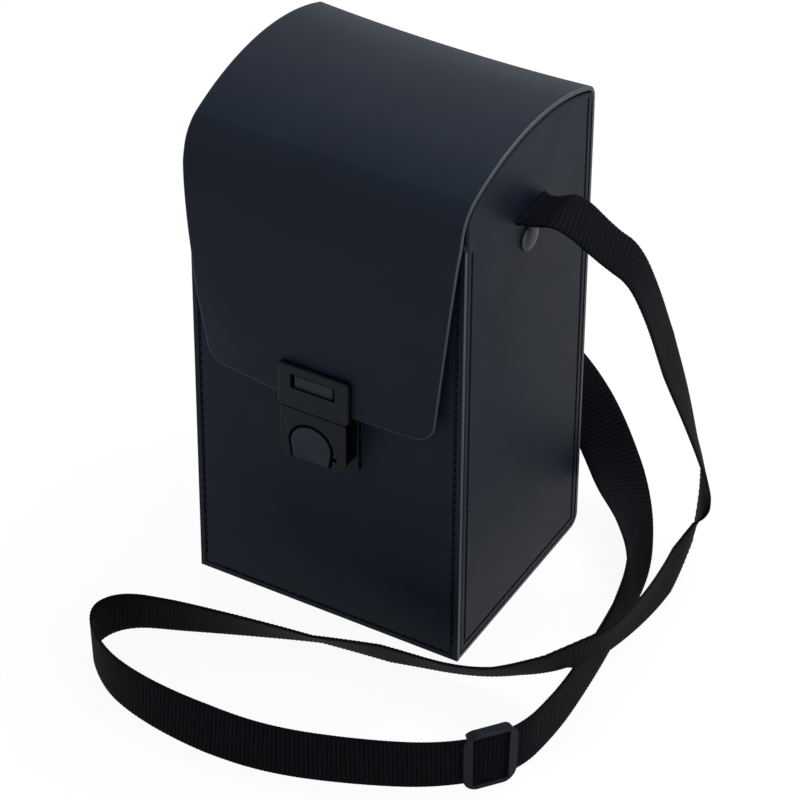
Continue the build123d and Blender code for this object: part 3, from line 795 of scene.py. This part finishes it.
# ---- stitches ----------------------------------------------------------------------------
stitch_pitch = 4.4
side_groove = 4.15        # from the side panels' edges to their pressed groove
front_groove = 3.05       # from the front panel's edges to its own
thread_depth = 0.3        # the threads' middle lies this deep in the grooves
side_seam_top = 214.0
back_seam_top = 233.0
front_seam_ends = (5.0, 216.0)
# Length and radius of one stitch in each kind of row.
fine_stitch = (3.0, 0.36)
low_stitch = (3.4, 0.42)
# the back row's thread is thicker than a real one, so that its dark also stands in for the shade
# in the pressed groove
back_stitch = (4.1, 0.62)


def stitch(verts, faces, centre, heading, out, length, radius):
    """One thread bridge, dipping into its holes at both ends."""
    side = out.cross(heading)
    dip, thinning = 0.42, 0.35
    rings, around = 7, 6
    first = len(verts)
    for i in range(rings):
        share = 2 * i / (rings - 1) - 1
        spot = centre + heading * (length / 2 * share) - out * (dip * share ** 4)
        reach = radius * (1 - thinning * share ** 6)
        for j in range(around):
            angle = 2 * math.pi * j / around
            verts.append((spot + side * (reach * math.cos(angle))
                          + out * (reach * math.sin(angle))) * mm)
    faces += tube_faces(first, rings, around)


def stitch_row(name, runs, out):
    """Rows of stitches along straight runs between two points each."""
    verts = []
    faces = []
    for start, end, (length, radius) in runs:
        start, end = Vector(start), Vector(end)
        span = (end - start).length
        heading = (end - start) / span
        count = int(span // stitch_pitch)
        spare = (span - count * stitch_pitch) / 2
        for i in range(count):
            centre = start + heading * (spare + (i + 0.5) * stitch_pitch)
            stitch(verts, faces, centre, heading, out, length, radius)
    row = piece_from(name, verts, faces, [paint["thread"]], "case")


def make_stitches():
    """Seams round the side panels and along three edges of the front panel."""
    front = front_y + sheet + side_groove
    back = back_y - sheet - side_groove
    low = sheet + side_groove
    for side, name in ((1, "stitches_right"), (-1, "stitches_left")):
        x = side * (side_x - thread_depth)
        stitch_row(name, [((x, front, low + 1), (x, front, side_seam_top), fine_stitch),
                          ((x, front + 2, low), (x, back - 2, low), low_stitch),
                          ((x, back, low + 1), (x, back, back_seam_top), back_stitch)],
                   Vector((side, 0, 0)))
    y = front_y + thread_depth
    edge = side_x - front_groove
    foot_z, head_z = front_seam_ends
    sides = [((x, y, foot_z), (x, y, head_z), fine_stitch) for x in (-edge, edge)]
    foot = ((-edge + 2, y, front_groove), (edge - 2, y, front_groove), fine_stitch)
    stitch_row("stitches_front", sides + [foot], Vector((0, -1, 0)))


# ---- strap rivets ------------------------------------------------------------------------
def rivet_profile():
    """Foot, post and domed cap with a rolled rim, as (distance outward, radius)."""
    cap_radius, cap_height, rim_height = 6.75, 2.6, 0.45
    foot_end, foot_seat = -6.3, -5.3
    post, foot, tip = 2.0, 3.6, 0.05
    profile = [(foot_end, tip), (foot_end, foot - 0.3), (foot_end + 0.2, foot),
               (foot_seat - 0.1, foot), (foot_seat, foot - 0.1), (foot_seat, post),
               (0.0, post), (0.0, cap_radius - 0.35), (0.12, cap_radius - 0.08),
               (0.32, cap_radius)]
    for i in range(1, 15):
        angle = math.pi / 2 * i / 14
        profile.append((rim_height + (cap_height - rim_height) * math.sin(angle),
                        max((cap_radius - 0.05) * math.cos(angle), tip)))
    return profile


def make_strap_rivets():
    """The two rivets as solids of revolution, one on each side."""
    profile = rivet_profile()
    around = 40
    verts = []
    faces = []
    for side in (1, -1):
        seat = Vector((side * side_x, rivet_y, rivet_z))
        outward = Vector((side, 0, 0))
        spoke = outward.orthogonal().normalized()
        other = outward.cross(spoke)
        faces += tube_faces(len(verts), len(profile), around)
        for distance, radius in profile:
            for j in range(around):
                angle = 2 * math.pi * j / around
                reach = spoke * math.cos(angle) + other * math.sin(angle)
                verts.append((seat + outward * distance + reach * radius) * mm)
    rivets = piece_from("strap_rivets_turned", verts, faces, [paint["nickel"]], "case")
    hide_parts("strap_rivets")


# ---- panels of the case ------------------------------------------------------------------
def is_cut(face, places):
    """True for a flat face that lies at one of the places, (axis, value), of cut edges."""
    centre = face.calc_center_median() / mm
    return any(abs(abs(face.normal[axis]) - 1) < 0.001 and abs(centre[axis] - value) < 0.01
               for axis, value in places)


def press_fold(piece):
    """Press the fold at the back of a side sheet flatter than its nominal rounding."""
    fold_start, fold_depth, left = 51.0, 1.7, 0.15
    for corner in piece.data.vertices:
        x, y = corner.co.x / mm, corner.co.y / mm
        if y > fold_start and abs(x) > side_x - fold_depth:
            corner.co.x = math.copysign(side_x - left * (side_x - abs(x)), x) * mm


def make_case():
    """The panels with their edges rounded and their cut edges raw."""
    ends = [(0, -side_x), (0, side_x)]      # cut edges as (axis, value)
    panels = [("front_sheet", "front_panel", 0.3, ends + [(2, front_top), (2, 0.0)]),
              ("back_sheet", "back_bottom_panel", 0.3, ends + [(2, back_top)]),
              ("side_sheet_right", "side_panel_right", 0.18, []),
              ("side_sheet_left", "side_panel_left", 0.18, [])]
    for name, node, rounding, cuts in panels:
        shape = bare_mesh(node)
        for face in shape.faces:
            face.material_index = 1 if is_cut(face, cuts) else 0
        round_edges(shape, rounding)
        panel = finish_mesh(name, shape, [paint["leather"], paint["raw_edge"]], "case")
        if node.startswith("side"):
            press_fold(panel)
        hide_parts(node)


# ---- lock --------------------------------------------------------------------------------
hasp_lip = 1.6            # the hasp's rounded lip; behind it the side falls back and is painted in shade
face_margin = 2.0         # what lies further in than this is a recess, not the outside, and is painted in shade


def lock_finish_or_painted_shade(face, body, low, high):
    """0 for the lock's front finish, 1 for painted shade on its sides, recesses and gaps."""
    x, y, z = face.center / mm
    if face.normal.y < -0.9:
        return 0
    recessed = (low[0] + face_margin < x < high[0] - face_margin
                and low[2] + face_margin < z < high[2] - face_margin)
    if recessed or body == "thumb_button":
        return 1
    if body == "lid":
        return 1 if y > low[1] + hasp_lip or face.normal.z < -0.2 else 0
    return 0 if face.normal.y < -0.2 else 1


def make_lock():
    """The lock's mouldings, rounded widest round their fronts."""
    parts = [("lock_plate_moulded", "lock_base_plate", 0.3, "case"),
             ("lock_housing_moulded", "lock_housing", 0.45, "case"),
             ("thumb_button_moulded", "thumb_button", 0.4, "thumb_button"),
             ("hasp_moulded", "hasp_plate", 0.8, "lid")]
    for name, node, front_rounding, body in parts:
        shape = bare_mesh(node)
        corners = np.array([v.co for v in shape.verts]) / mm
        low, high = corners.min(axis=0), corners.max(axis=0)
        if body == "lid":
            everything = list(shape.verts) + list(shape.edges) + list(shape.faces)
            bmesh.ops.bisect_plane(shape, geom=everything, plane_no=(0, 1, 0),
                                   plane_co=(0, (low[1] + hasp_lip) * mm, 0))
        round_front(shape, front_rounding)
        round_edges(shape, width=0.2)
        finish = "button" if body == "thumb_button" else "lock"
        piece = finish_mesh(name, shape, [paint[finish], paint["lock_side_painted_shade"]], body)
        for face in piece.data.polygons:
            face.material_index = lock_finish_or_painted_shade(face, body, low, high)
        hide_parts(node)


# ---- pieces that keep the CAD shape ------------------------------------------------------
def dress_nodes():
    """Better materials on the CAD nodes whose shape stays."""
    finishes = {
        "lining": ["lining_front", "lining_back", "lining_left", "lining_right"],
        "felt": ["bottom_pad"],
        "board": ["front_board", "back_board", "bottom_board"],
        "steel": ["lock_backing_plate", "hasp_backing_plate", "lock_rivets", "hasp_rivets",
                  "button_pin", "button_spring", "strap_washers"],
        "webbing": ["strap_end_left", "strap_end_right"],
    }
    for finish, names in finishes.items():
        for name in names:
            nodes[name].data.materials.clear()
            nodes[name].data.materials.append(paint[finish])


# ---- surroundings ------------------------------------------------------------------------
def lamp(name, place, aim, size, power):
    data = bpy.data.lights.new(name, "AREA")
    data.shape = "RECTANGLE"
    data.size, data.size_y = size
    data.energy = power
    data.color = (0.90, 0.95, 1.0)
    light = add_object(name, data)
    light.location = place
    light.rotation_euler = (Vector(aim) - Vector(place)).to_track_quat("-Z", "Y").to_euler()


def show_white(tree, lit, white, share, output):
    """The lit surface gives the light; what is seen or mirrored is white, by the given share."""
    path = tree.nodes.new("ShaderNodeLightPath")
    total = path.outputs["Is Camera Ray"]
    for kind in ("Is Glossy Ray", "Is Transmission Ray"):
        both = tree.nodes.new("ShaderNodeMath")
        both.operation = "MAXIMUM"
        tree.links.new(total, both.inputs[0])
        tree.links.new(path.outputs[kind], both.inputs[1])
        total = both.outputs[0]
    part = tree.nodes.new("ShaderNodeMath")
    part.operation = "MULTIPLY"
    part.inputs[1].default_value = share
    tree.links.new(total, part.inputs[0])
    mix = tree.nodes.new("ShaderNodeMixShader")
    tree.links.new(part.outputs[0], mix.inputs[0])
    tree.links.new(lit.outputs[0], mix.inputs[1])
    tree.links.new(white.outputs[0], mix.inputs[2])
    tree.links.new(mix.outputs[0], tree.nodes[output].inputs["Surface"])


def make_lamps():
    lamp("lamp_top", (0.35, 1.0, 1.9), aim=(0, 0, 0.15), size=(1.6, 1.2), power=52.0)
    lamp("lamp_right", (2.0, -0.2, 1.1), aim=(0, 0, 0.12), size=(1.2, 1.2), power=9.0)
    lamp("lamp_front", (-1.3, -1.7, 1.0), aim=(0, 0, 0.1), size=(1.2, 1.2), power=9.0)


def make_world():
    world = bpy.data.worlds.new("studio")
    bpy.context.scene.world = world
    world.use_nodes = True
    tree = world.node_tree
    lit = tree.nodes["Background"]
    set_sockets(lit, Color=(0.93, 0.96, 1.0, 1.0), Strength=0.55)
    white = add_node(tree, "ShaderNodeBackground", Color=(1.0, 1.0, 1.0, 1.0), Strength=1.0)
    show_white(tree, lit, white, share=1.0, output="World Output")


def make_floor():
    reach = 6.0
    mesh = bpy.data.meshes.new("floor")
    mesh.from_pydata([(-reach, -reach, 0), (reach, -reach, 0), (reach, reach, 0),
                      (-reach, reach, 0)], [], [(0, 1, 2, 3)])
    material, tree, shader = new_material("floor_paper")
    mesh.materials.append(material)
    set_sockets(shader, Base_Color=(0.86, 0.86, 0.86, 1.0), Roughness=0.9,
                Specular_IOR_Level=0.0)
    white = add_node(tree, "ShaderNodeEmission", Color=(1.0, 1.0, 1.0, 1.0), Strength=1.0)
    show_white(tree, shader, white, share=0.93, output="Material Output")
    add_object("floor", mesh)


make_camera()
strap, line, along = make_strap()
slider = make_slider(line, along)
make_lid()
make_lid_lining()
make_fold()
make_case()
make_stitches()
make_strap_rivets()
make_lock()
dress_nodes()
make_lamps()
make_world()
make_floor()
bpy.context.scene.view_settings.view_transform = "Standard"
